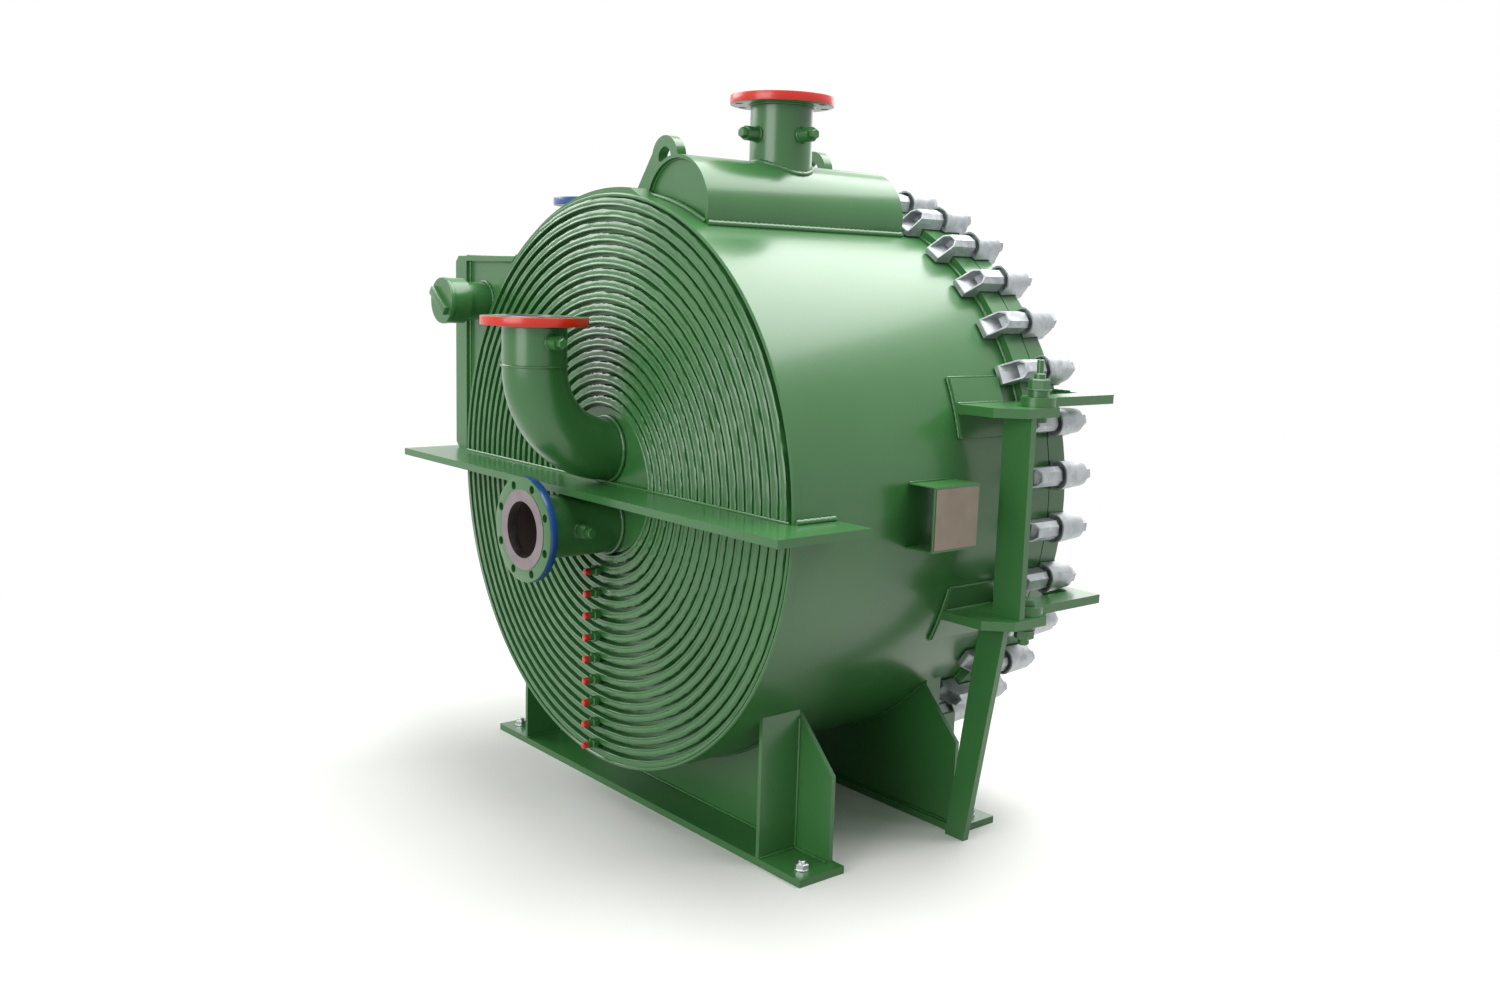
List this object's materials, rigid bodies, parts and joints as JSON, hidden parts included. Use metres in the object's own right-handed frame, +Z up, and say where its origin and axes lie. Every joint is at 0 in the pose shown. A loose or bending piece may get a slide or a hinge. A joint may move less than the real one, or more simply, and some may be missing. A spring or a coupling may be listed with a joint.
{
  "type": "spiral heat exchanger",
  "caption": "Horizontal spiral plate heat exchanger on saddles, with a welded spiral end, a hinged clamped door, a half-pipe header, a ribbed outlet box and flanged nozzles",
  "frame": {"origin": "on the floor, in the middle of the four anchor bolts", "axes": "+Z up, +Y along the drum's axis from the spiral end to the door, +X to the door's hinge side"},
  "size_m": [1.832, 1.4256, 1.9663],
  "materials": {
    "green_paint": "gloss enamel over welded plate",
    "red_paint": "gloss enamel",
    "blue_paint": "gloss enamel",
    "galvanised_steel": "hot-dip galvanised, mottled",
    "bare_steel": "machined and brushed",
    "gasket_sheet": "matt"
  },
  "bodies": {
    "drum": {"body_flange": "green_paint", "box_back_plate": "green_paint", "box_flange": "blue_paint", "box_front_plate": "green_paint", "box_neck": "green_paint", "box_side_plate": "green_paint", "box_side_ribs": "green_paint", "box_top_plate": "green_paint", "box_top_ribs": "green_paint", "capped_stubs": "green_paint", "clamp_hooks": "galvanised_steel", "cold_flange": "blue_paint", "cold_pipe": "green_paint", "couplings": "green_paint", "drain_cocks": "green_paint", "elbow_flange": "red_paint", "elbow_pipe": "green_paint", "half_pipe_header": "green_paint", "header_end_plates": "green_paint", "header_flange": "red_paint", "header_neck": "green_paint", "hinge_brackets": "green_paint", "hinge_leg": "green_paint", "hinge_pads": "green_paint", "hinge_pins": "green_paint", "hinge_post": "green_paint", "lifting_lugs": "green_paint", "nameplate": "bare_steel", "nameplate_bracket": "green_paint", "outer_shell": "green_paint", "saddle_bases": "green_paint", "saddle_gussets": "green_paint", "saddle_webs": "green_paint", "spiral_end": "green_paint", "spiral_winding": "bare_steel", "stiffener_plate": "green_paint"},
    "door": {"gasket": "gasket_sheet", "door_plate": "green_paint", "clamp_jaws": "galvanised_steel", "hinge_arms": "green_paint", "grab_handle": "green_paint", "door_eyes": "green_paint", "door_drain_stub": "green_paint"}
  },
  "joints": [
    {"name": "door_hinge", "type": "hinge", "parent": "drum", "child": "door", "pos_m": [0.88, 0.27, 0.915], "axis": [0, 0, -1], "range_deg": [0, 100]}
  ]
}
